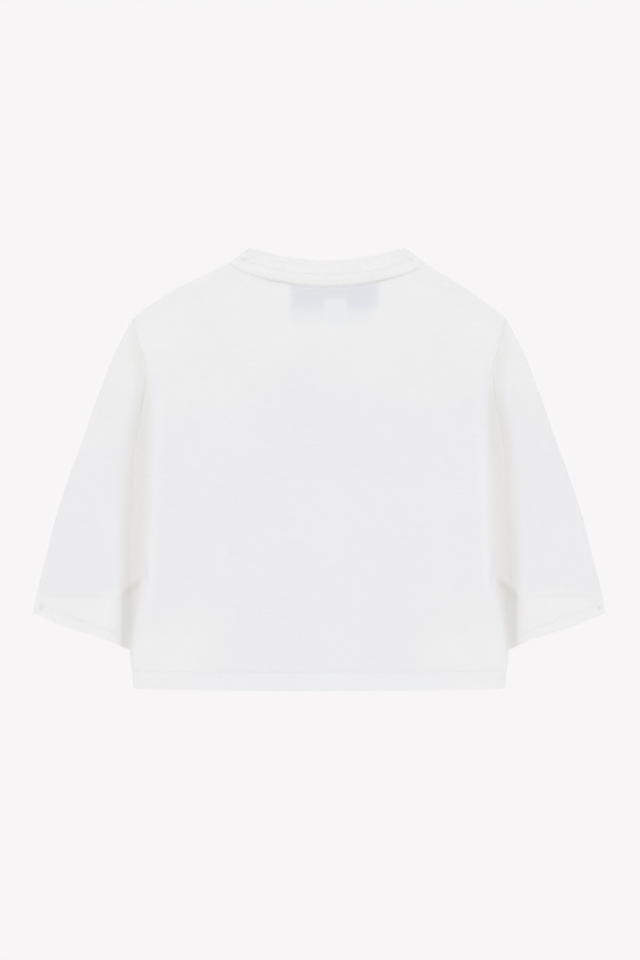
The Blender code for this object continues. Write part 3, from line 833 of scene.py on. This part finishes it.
# ================================================================ finishes
class Wire:
    """A socket of a finish, on which arithmetic adds Math nodes."""

    def __init__(self, finish, socket):
        self.finish = finish
        self.socket = socket

    def maths(self, operation, *others):
        values = dict(enumerate((self, *others)))
        return self.finish.add("ShaderNodeMath", {"operation": operation}, values)

    def swapped(self, operation, other):
        return self.finish.add("ShaderNodeMath", {"operation": operation}, {0: other, 1: self})

    def __add__(self, other):
        return self.maths("ADD", other)

    def __sub__(self, other):
        return self.maths("SUBTRACT", other)

    def __rsub__(self, other):
        return self.swapped("SUBTRACT", other)

    def __mul__(self, other):
        return self.maths("MULTIPLY", other)

    def __truediv__(self, other):
        return self.maths("DIVIDE", other)

    __radd__ = __add__
    __rmul__ = __mul__


class Finish:
    """A material made of nodes."""

    def __init__(self, name, roughness, sheen):
        self.material = bpy.data.materials.new(name)
        self.material.use_nodes = True
        self.tree = self.material.node_tree
        self.shader = self.tree.nodes["Principled BSDF"]
        for socket, value in (("Roughness", roughness), ("Sheen Weight", sheen),
                              ("Sheen Roughness", 0.6), ("Specular IOR Level", 0.25)):
            self.shader.inputs[socket].default_value = value

    def add(self, kind, settings, values, output=0):
        """A node with its settings, then the values or wires of its sockets."""
        node = self.tree.nodes.new(kind)
        for key, value in settings.items():
            setattr(node, key, value)
        for key, value in values.items():
            self.put(node.inputs[key], value)
        return Wire(self, node.outputs[output])

    def put(self, socket, value):
        if isinstance(value, Wire):
            self.tree.links.new(value.socket, socket)
        elif isinstance(value, (tuple, list)):
            socket.default_value = (*value, 1.0)[:len(socket.default_value)]
        else:
            socket.default_value = value

    def step(self, value, start, end):
        """A soft step from 0 at start to 1 at end, both in millimetres."""
        return self.add("ShaderNodeMapRange", {"interpolation_type": "SMOOTHSTEP"},
                        {"Value": value, "From Min": start * MM, "From Max": end * MM})

    def between(self, value, start, full, fading, end):
        """Comes in softly from start to full and goes out from fading to end, in millimetres."""
        return self.step(value, start, full) * (1 - self.step(value, fading, end))

    def along(self, value, whole, reach):
        """1 on the line where a value is 0, and as wide as whole and reach say, in millimetres."""
        return 1 - self.step(value.maths("ABSOLUTE"), whole, reach)

    def tint(self, share, plain, other):
        """A colour on the way from one to another."""
        return self.add("ShaderNodeMix", {"data_type": "RGBA"}, {0: share, 6: plain, 7: other},
                        output=2)

    def shaded(self, colour, light):
        """A colour made as light as a value between 0 and 1."""
        grey = self.add("ShaderNodeCombineColor", {}, {0: light, 1: light, 2: light})
        return self.add("ShaderNodeMix", {"data_type": "RGBA", "blend_type": "MULTIPLY"},
                        {0: 1.0, 6: colour, 7: grey}, output=2)

    def noise(self, place, scale, detail=2.0):
        return self.add("ShaderNodeTexNoise", {},
                        {"Vector": place, "Scale": scale, "Detail": detail})

    def stretched(self, place, scale):
        """A place with each of its axes scaled."""
        return self.add("ShaderNodeMapping", {}, {"Vector": place, "Scale": scale})

    def with_parts(self, place):
        """A place and its parts along each axis."""
        parts = self.tree.nodes.new("ShaderNodeSeparateXYZ")
        self.put(parts.inputs[0], place)
        return place, *(Wire(self, output) for output in parts.outputs)

    def cloth_place(self):
        """The piece's own UV map, in metres, and its two parts."""
        return self.with_parts(self.add("ShaderNodeUVMap", {"uv_map": "cloth"}, {}))[:3]

    def object_place(self):
        """Object coordinates, and x, y and z."""
        return self.with_parts(self.add("ShaderNodeTexCoord", {}, {}, output="Object"))

    def along_side(self, y, column):
        """A column of VALLEY by y, as a curve, in metres."""
        foot, top = VALLEY_Y[0], VALLEY_Y[-1]
        least, most = min(VALLEY[column]), max(VALLEY[column])
        node = self.tree.nodes.new("ShaderNodeFloatCurve")
        curve = node.mapping.curves[0]
        places = [((at - foot) / (top - foot), (value - least) / (most - least))
                  for at, value in zip(VALLEY_Y, VALLEY[column])]
        curve.points[0].location, curve.points[-1].location = places[0], places[-1]
        for place in places[1:-1]:
            curve.points.new(*place)
        node.mapping.update()
        self.put(node.inputs["Value"], (y - foot * MM) / ((top - foot) * MM))
        return Wire(self, node.outputs[0]) * ((most - least) * MM) + least * MM

    def colour(self, wire):
        self.put(self.shader.inputs["Base Color"], wire)

    def bumped(self, height, depth):
        """Relief of this depth, in millimetres, from a height between 0 and 1."""
        normal = self.add("ShaderNodeBump", {}, {"Distance": depth * MM, "Height": height})
        self.put(self.shader.inputs["Normal"], normal)


IVORY = (0.822, 0.820, 0.817)
COOL_IVORY = (0.802, 0.801, 0.813)
RIB_IVORY = (0.795, 0.792, 0.790)
HEM_IVORY = (0.814, 0.815, 0.826)
PAINTED_FOLD_SHADE = (0.753, 0.744, 0.713)      # painted shade down in the valleys beside the body
PAINTED_DEEP_SHADE = (0.690, 0.680, 0.648)      # deeper painted shade at their foot, beside the cuffs, and on the sleeve beside the body's edge
# painted shade along the diagonal fold at the underarm
PAINTED_UNDERARM_SHADE = (0.665, 0.652, 0.608)
PAINTED_HOLLOW_SHADE = (0.752, 0.754, 0.776)     # painted cool shade in a hollow inside the valley's lower end
PAINTED_RIDGE_HIGHLIGHT = (0.815, 0.814, 0.824)     # painted highlight along the crest beside the valley
# painted shade where the neckband goes into its seam
PAINTED_SEAM_SHADE = (0.690, 0.687, 0.680)
# painted show-through of the label, its shade and tone, and of its turned end and the tab
PAINTED_LABEL_SHADE = (0.680, 0.700, 0.745)
LABEL_TURN = (0.830, 0.836, 0.860)
TAB_SHADE = (0.792, 0.800, 0.832)
# painted shade round the bar tacks
PAINTED_TACK_SHADE = (0.690, 0.700, 0.715)
RIBBON_WHITE = (0.80, 0.82, 0.85)
THREAD_IVORY = (0.80, 0.80, 0.79)
THREAD_COOL = (0.78, 0.79, 0.82)

# The valleys beside the body, where shade is painted, from the hem up: how far out their foot is,
# half of how wide they are, and how far out the body's edge lies.
VALLEY_Y = (-135, -119, -97, -86, -52, -8, 36, 58, 88, 112)
VALLEY = {
    "foot": (143.3, 142.2, 140, 138.2, 135.6, 133.2, 131.4, 130.0, 134.2, 139.0),
    "wide": (3.5, 4.8, 7.4, 7.7, 7.5, 6.8, 7.0, 5.2, 4.8, 4.8),
    "edge": (139.7, 140.3, 140.5, 140.2, 139.3, 137.7, 132.9, 129.6, 131.7, 138.2),
}
UNDERARM_SLOPE = 0.77       # the fold at the underarm falls by this outwards
UNDERARM_Y = 18.8           # and would cross the garment's middle here

# Where each painted highlight (crest) and painted shade (sleeve, armhole) comes in, is whole, begins
# to fade and ends, across and up the garment.
PAINTED_TONES = {
    "crest":    ((1.5, 5.0, 6.0, 12.0), (-110, -90, 50, 95)),       # inwards from the valley
    "sleeve":   ((-1.2, 0.6, 3.0, 12.5), (-94, -84, 0, 105)),       # outwards from the body's edge
    "armhole":  ((-1.0, 1.2, 1.0, 11.5), (60, 80, 98, 112)),
}
# Ranges of the other painted shade and of the painted light at the body's edge, in millimetres.
HOLLOW_UP = (-90, -78, -62, -52)
VALLEY_UP = (-140, -130, 30, 95)
EDGE_UP = (-140, -134, 30, 70)
SKIRT_OUT = (138, 145, 145, 156)
UNDERARM_OUT = (128.5, 136, 144, 147.8)
CREASE_OUT = (155, 168, 198, 206)
CREASE_Y = -93.6

# What shows through the back, painted as shade and tone: left, right, foot, top, and how soft its
# edges and its foot are.
PAINTED_THROUGH_BACK = {
    "shadow":    (-21.5, 39.0, 109.5, 146, 5.0, 6.0),
    "label":     (-20.5, 43.0, 117.5, 146, 3.6, 2.6),
    "right_end": (22.0, 43.0, 120, 133, 2.6, 2.6),
    "left_end":  (-17.0, 1.0, 120, 132, 2.6, 2.6),
    "turned":    (-28.0, -23.0, 127, 146, 1.6, 1.6),
    "tab":       (4.0, 19.6, 105.5, 126, 2.2, 2.2),
}
WALE = 0.92             # a column of knitted loops
COURSE = 0.66           # a row of them
RIB_PITCH = 1.5


def loops(u, v, wale, course):
    """Height of plain knitting: columns of loops, each a V of two slanted legs."""
    from_middle = ((u / (wale * MM)).maths("FRACT") - 0.5).maths("ABSOLUTE")
    leg = (from_middle * (2 * math.pi)).maths("SINE")
    turn = (v / (course * MM) + from_middle * 1.3) * (2 * math.pi)
    return leg * (turn.maths("COSINE") * 0.3 + 0.7)


def paint_fold_shade(finish, colour, x, y):
    """Painted shade down in the valleys beside the body and in the folds at the cuffs, with painted
    highlights on the crest and along the body's edge.
    """
    beside = x.maths("ABSOLUTE")
    valley, wide = finish.along_side(y, "foot"), finish.along_side(y, "wide")
    from_edge = beside - finish.along_side(y, "edge")
    below_underarm = UNDERARM_Y * MM - y - beside * UNDERARM_SLOPE

    def spot(name, across):
        return finish.between(across, *PAINTED_TONES[name][0]) * finish.between(y, *PAINTED_TONES[name][1])

    # painted highlight along the crest inside the valley
    colour = finish.tint(spot("crest", valley - wide - beside), colour, PAINTED_RIDGE_HIGHLIGHT)
    # painted cool shade in a hollow at the valley's lower end
    hollow = finish.along(beside - 0.1283 - (y + 0.070) * 0.08, 0.4, 3.0)
    colour = finish.tint(hollow * finish.between(y, *HOLLOW_UP) * 0.75, colour, PAINTED_HOLLOW_SHADE)
    # painted shade down the valley beside the body's edge
    depth = 1 - finish.step((beside - valley).maths("ABSOLUTE") - wide, -5.5, 4.5)
    colour = finish.tint(depth * finish.between(y, *VALLEY_UP), colour, PAINTED_FOLD_SHADE)
    # painted shade on the sleeve beside the body's edge and outside the armhole seam
    colour = finish.tint(spot("sleeve", from_edge) * 0.42, colour, PAINTED_DEEP_SHADE)
    colour = finish.tint(spot("armhole", from_edge) * 0.22, colour, PAINTED_DEEP_SHADE)

    past_corner = finish.step(below_underarm, -3.0, 0.2)
    skirt = past_corner * finish.between(beside, *SKIRT_OUT)
    tapered = beside - (-0.097 - y).maths("MAXIMUM", 0.0) * 0.12
    under_cuff = past_corner * finish.step(tapered, 131.0, 142.5) * (
        1 - finish.step(beside, 145.0, 147.4))
    underarm = finish.along(below_underarm, 0.4, 5.8) * finish.between(beside, *UNDERARM_OUT)
    # painted shade below the underarm: on the skirt, in the gap beside the cuff and along the
    # underarm fold
    colour = finish.tint(skirt * 0.6, colour, PAINTED_FOLD_SHADE)
    colour = finish.tint(under_cuff, colour, PAINTED_DEEP_SHADE)
    colour = finish.tint(underarm * 0.8, colour, PAINTED_UNDERARM_SHADE)

    # painted light along the body's edge, taking back some of the valley's painted shade there
    painted_edge_light = finish.along(from_edge + 0.0001, 0.3, 0.9) * finish.between(y, *EDGE_UP)
    colour = finish.tint(painted_edge_light * (0.5 - past_corner * 0.28), colour, IVORY)
    # painted shade along the crease across the cuffs
    crease = finish.along(y - CREASE_Y * MM, 0.2, 2.4) * finish.between(beside, *CREASE_OUT)
    return finish.tint(crease * 0.22, colour, PAINTED_FOLD_SHADE)


def jersey(name, with_fold_shade=True, shown_through=None):
    """Plain knit. with_fold_shade adds the painted shade of the valleys and folds, and painted
    highlights beside them, on the garment's upper side.
    """
    finish = Finish(name, roughness=0.92, sheen=0.12)
    place, u, v = finish.cloth_place()
    knit = loops(u, v, WALE, COURSE)
    slub = finish.noise(finish.stretched(place, (90, 1100, 1)), 1.0)
    lengthwise = finish.noise(finish.stretched(place, (1000, 70, 1)), 1.0, detail=1.0)
    fuzz = finish.noise(place, 2600.0)
    finish.bumped(knit * 0.55 + slub * 0.5 + fuzz * 0.25, depth=0.22)

    at, x, y, z = finish.object_place()
    broad = finish.noise(at, 14.0, detail=1.0)
    beside = x.maths("ABSOLUTE")
    swell = (broad - 0.5) * 0.06
    shoulders = finish.step(y + beside * 0.25 + swell, 45, 135)
    corners = finish.step(swell - y, 85, 135) * finish.step(beside, 50, 115)
    cuffs = finish.step(swell * 0.2 - y, 84.5, 100) * finish.step(beside, 146, 152)
    warm = shoulders.maths("MAXIMUM", corners).maths("MAXIMUM", cuffs)
    colour = finish.tint(warm, COOL_IVORY, IVORY)
    hem = y + 0.0016 - (x / (HEM_X * MM)).maths("POWER", 2.0) * 0.0016
    in_hem = (1 - finish.step(hem, -150, -148.5)) * (1 - finish.step(beside, 80, 120))
    colour = finish.tint(in_hem, colour, HEM_IVORY)
    if with_fold_shade:
        # painted shade and highlights only where the cloth lies high, on the upper side
        colour = finish.tint(finish.step(z, 1.2, 2.4), colour, paint_fold_shade(finish, colour, x, y))
    yarn = (slub - 0.5) * 0.055 + (lengthwise - 0.5) * 0.02 + (broad - 0.5) * 0.03 + knit * 0.02
    colour = finish.shaded(colour, yarn + 0.985)
    if shown_through:
        colour = shown_through(finish, colour, x, y)
    finish.colour(paint_tack_shade(finish, at, colour))
    return finish.material


def paint_tack_shade(finish, at, colour):
    """Painted shade a little round the bar tacks, standing in for the cloth pulled in there."""
    for x, y in TACKS:
        away = finish.add("ShaderNodeVectorMath", {"operation": "DISTANCE"},
                          {0: at, 1: (x * MM, y * MM, TACK_Z * MM)}, output=1)
        colour = finish.tint((1 - finish.step(away, 0.5, 2.8)) * 0.5, colour, PAINTED_TACK_SHADE)
    return colour


def paint_label_show_through(finish, colour, x, y):
    """Painted show-through of the label and its tab: their shade and tone, faintly through the thin
    back, and a lighter strip just below the seam.
    """
    def box(name):
        left, right, foot, top, soft, soft_foot = PAINTED_THROUGH_BACK[name]
        return (finish.between(x, left - soft, left + soft, right - soft, right + soft)
                * finish.between(y, foot - soft_foot, foot + soft_foot, top - soft, top + soft))

    label = box("label")
    colour = finish.tint(box("shadow") * 0.30, colour, PAINTED_LABEL_SHADE)
    colour = finish.tint(label * (finish.step(y, 112, 131) * 0.42 + 0.25), colour, PAINTED_LABEL_SHADE)
    colour = finish.tint(box("right_end") * 0.30, colour, PAINTED_LABEL_SHADE)
    colour = finish.tint(box("left_end") * 0.18, colour, PAINTED_LABEL_SHADE)
    colour = finish.tint(box("turned") * 0.3, colour, LABEL_TURN)
    colour = finish.tint(box("tab") * 0.8, colour, TAB_SHADE)
    below_seam = (x - NECK_X * MM).maths("POWER", 2.0) * 2.5 + BACK_SEAM[0][1] * MM - y
    lit = finish.between(below_seam, 0.7, 1.4, 1.9, 3.0)
    return finish.tint(lit * label * 0.45, colour, IVORY)


def rib_finish():
    """Rib knit, with painted shade where it goes into the neck seam."""
    finish = Finish("ivory_rib", roughness=0.92, sheen=0.12)
    place, u, v = finish.cloth_place()
    ribs = ((u / (RIB_PITCH * MM)) * (2 * math.pi)).maths("SINE") * 0.5 + 0.5
    knit = loops(u, v, RIB_PITCH / 2, COURSE)
    fuzz = finish.noise(place, 2600.0)
    finish.bumped(ribs * 0.6 + knit * 0.35 + fuzz * 0.25, depth=0.17)
    colour = finish.shaded(RIB_IVORY, ribs * 0.025 + fuzz * 0.02 + 0.97)
    at, x, *_ = finish.object_place()
    middle = finish.along(x - NECK_X * MM, 30, 58)
    from_seam = v + BAND_HEIGHT * MM
    # painted shade into the neck seam: broad in the middle, and a narrow strip right at the seam
    shade_near_seam = (1 - finish.step(from_seam, 1.0, 9.0)) * middle
    sewn = (1 - finish.step(from_seam, 0.0, 1.5)) * (middle * 0.8 + 0.2)
    colour = finish.tint(shade_near_seam * 0.24, colour, PAINTED_SEAM_SHADE)
    finish.colour(paint_tack_shade(finish, at, finish.tint(sewn, colour, PAINTED_SEAM_SHADE)))
    return finish.material


def ribbon_finish(name, tone):
    """Blank woven ribbon."""
    finish = Finish(name, roughness=0.5, sheen=0.0)
    _, u, v = finish.cloth_place()
    warp = ((u / (0.22 * MM)) * (2 * math.pi)).maths("SINE")
    weft = ((v / (0.30 * MM)) * (2 * math.pi)).maths("SINE")
    weave = warp * weft * 0.5 + 0.5
    finish.bumped(weave, depth=0.05)
    finish.colour(finish.tint(weave, tuple(0.94 * c for c in tone), tone))
    return finish.material


def thread_finish(name, tone):
    """Twisted sewing thread."""
    finish = Finish(name, roughness=0.6, sheen=0.1)
    _, x, y, _ = finish.object_place()
    twist = ((x + y) / (0.35 * MM) * (2 * math.pi)).maths("SINE") * 0.5 + 0.5
    finish.bumped(twist, depth=0.04)
    finish.colour(finish.tint(twist, tuple(0.92 * c for c in tone), tone))
    return finish.material


# ================================================================ making it all
back = make_panel("back_jersey", whole_neck(BACK_SEAM), back_top, turned=False)
front = make_panel("front_jersey", whole_neck(FRONT_SEAM), front_bottom, turned=True)
sleeve_left, left_rows = make_sleeve("sleeve_left_jersey", -1, 11)
sleeve_right, right_rows = make_sleeve("sleeve_right_jersey", 1, 12)
neckband = make_neckband()
label = make_label()
tab = make_tab()

back_hem = stitch_rows("back_hem_stitches", [hem_line(back_top, 0.03)])
front_hem = stitch_rows("front_hem_stitches", [hem_line(front_bottom, -0.02)])
cuff_left = stitch_rows("cuff_left_stitches", left_rows)
cuff_right = stitch_rows("cuff_right_stitches", right_rows)
band_rows = stitch_rows("neckband_stitches",
                        [band_line(BACK_SEAM, BACK_EDGE, lambda share: band_height(share) - 0.24),
                         band_line(FRONT_SEAM, FRONT_EDGE, lambda share: 0 * share + 0.22)],
                        thick=0.38)


def tack(piece, x, y, turn):
    """The line of a short bar of dense stitches on a piece of cloth."""
    turn = math.radians(turn)
    line = []
    for along in np.linspace(-TACK_HALF, TACK_HALF, 7):
        at_x, at_y = x + along * math.cos(turn), y + along * math.sin(turn)
        _, place, *_ = piece.ray_cast((at_x * MM, at_y * MM, 0.03), (0, 0, -1))
        line.append((at_x, at_y, place.z / MM))
    return line


bpy.context.view_layer.update()
tacked = (neckband, neckband, sleeve_left, sleeve_right)
tacks = stitch_rows("bar_tacks", [tack(piece, *place, turn)
                                  for piece, place, turn in zip(tacked, TACKS, TACK_TURNS)],
                    length=2.2, pitch=0.42, thick=0.34, sideways=0.5)

jersey_plain = jersey("ivory_jersey")
jersey_front = jersey("ivory_jersey_front", with_fold_shade=False)
jersey_back = jersey("ivory_jersey_over_label", shown_through=paint_label_show_through)
rib = rib_finish()
ribbon = ribbon_finish("white_ribbon", RIBBON_WHITE)
thread = thread_finish("ivory_thread", THREAD_IVORY)
tack_thread = thread_finish("cool_thread", THREAD_COOL)

for piece, material in (
        (back, jersey_back), (front, jersey_front), (sleeve_left, jersey_plain),
        (sleeve_right, jersey_plain), (neckband, rib), (label, ribbon), (tab, ribbon),
        (back_hem, thread), (front_hem, thread), (cuff_left, thread), (cuff_right, thread),
        (band_rows, thread), (tacks, tack_thread)):
    piece.data.materials.append(material)

for piece, node, slot, flat, area in (
        (back, "back_panel", "jersey", (0.281, 0.317), 0.0800),
        (front, "front_panel", "jersey", (0.281, 0.317), 0.0785),
        (sleeve_left, "sleeve_left", "jersey", (0.232, 0.245), 0.0240),
        (sleeve_right, "sleeve_right", "jersey", (0.232, 0.245), 0.0240),
        (neckband, "neckband", "rib", (0.306, 0.0186), None),
        (label, "neck_label", "label", (0.068, 0.0182), None),
        (tab, "size_tab", "label", (0.0185, 0.0212), None)):
    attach(piece, "root")
    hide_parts(node)

for piece in (back_hem, front_hem, cuff_left, cuff_right, band_rows, tacks):
    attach(piece, "root")

# ================================================================ floor, light and camera
FLOOR_TONE = (0.280, 0.2746, 0.277, 1)
FLOOR_GLOW = (0.932, 0.9145, 0.923, 1)
GLOW_STRENGTH = 0.65
BACKDROP = (0.933, 0.917, 0.925, 1)     # all round the horizon, as pale as the floor looks
SOFT_LIGHT = (0.433, 0.436, 0.440, 1)   # from all the rest of the room
BACKDROP_TOP = (0.182, 0.225)           # where one turns into the other, as sines of the height
OVERHEAD_STRENGTH = 2.16
OVERHEAD_SPREAD = 50                    # degrees
CAMERA_PLACE = (0.0005, -0.0080, 1.9763)

select_none()
bpy.ops.mesh.primitive_plane_add(size=60, location=(0, 0, -0.0004))
floor = bpy.context.object
floor.name = "floor"
floor_finish = Finish("pale_floor", roughness=0.9, sheen=0.0)
for socket, value in (("Base Color", FLOOR_TONE), ("Emission Color", FLOOR_GLOW),
                      ("Emission Strength", GLOW_STRENGTH)):
    floor_finish.shader.inputs[socket].default_value = value
floor.data.materials.append(floor_finish.material)

scene = bpy.context.scene
scene.view_settings.view_transform = "Standard"
scene.world = bpy.data.worlds.new("studio")
scene.world.use_nodes = True
room = scene.world.node_tree
direction = room.nodes.new("ShaderNodeTexCoord")
parts = room.nodes.new("ShaderNodeSeparateXYZ")
up = room.nodes.new("ShaderNodeMapRange")
up.interpolation_type = "SMOOTHSTEP"
up.inputs["From Min"].default_value, up.inputs["From Max"].default_value = BACKDROP_TOP
light = room.nodes.new("ShaderNodeMix")
light.data_type = "RGBA"
light.inputs[6].default_value, light.inputs[7].default_value = BACKDROP, SOFT_LIGHT
for start, end in ((direction.outputs["Generated"], parts.inputs[0]),
                   (parts.outputs[2], up.inputs["Value"]),
                   (up.outputs[0], light.inputs[0]),
                   (light.outputs[2], room.nodes["Background"].inputs["Color"])):
    room.links.new(start, end)

overhead = bpy.data.lights.new("overhead", "SUN")
overhead.energy = OVERHEAD_STRENGTH
overhead.angle = math.radians(OVERHEAD_SPREAD)
overhead_object = bpy.data.objects.new("overhead", overhead)
overhead_object.location = (0, 0, 2.6)
scene.collection.objects.link(overhead_object)

camera = bpy.data.cameras.new("camera")
camera.lens = 100
camera.sensor_width = 36
camera_object = bpy.data.objects.new("camera", camera)
camera_object.location = CAMERA_PLACE
scene.collection.objects.link(camera_object)
scene.camera = camera_object
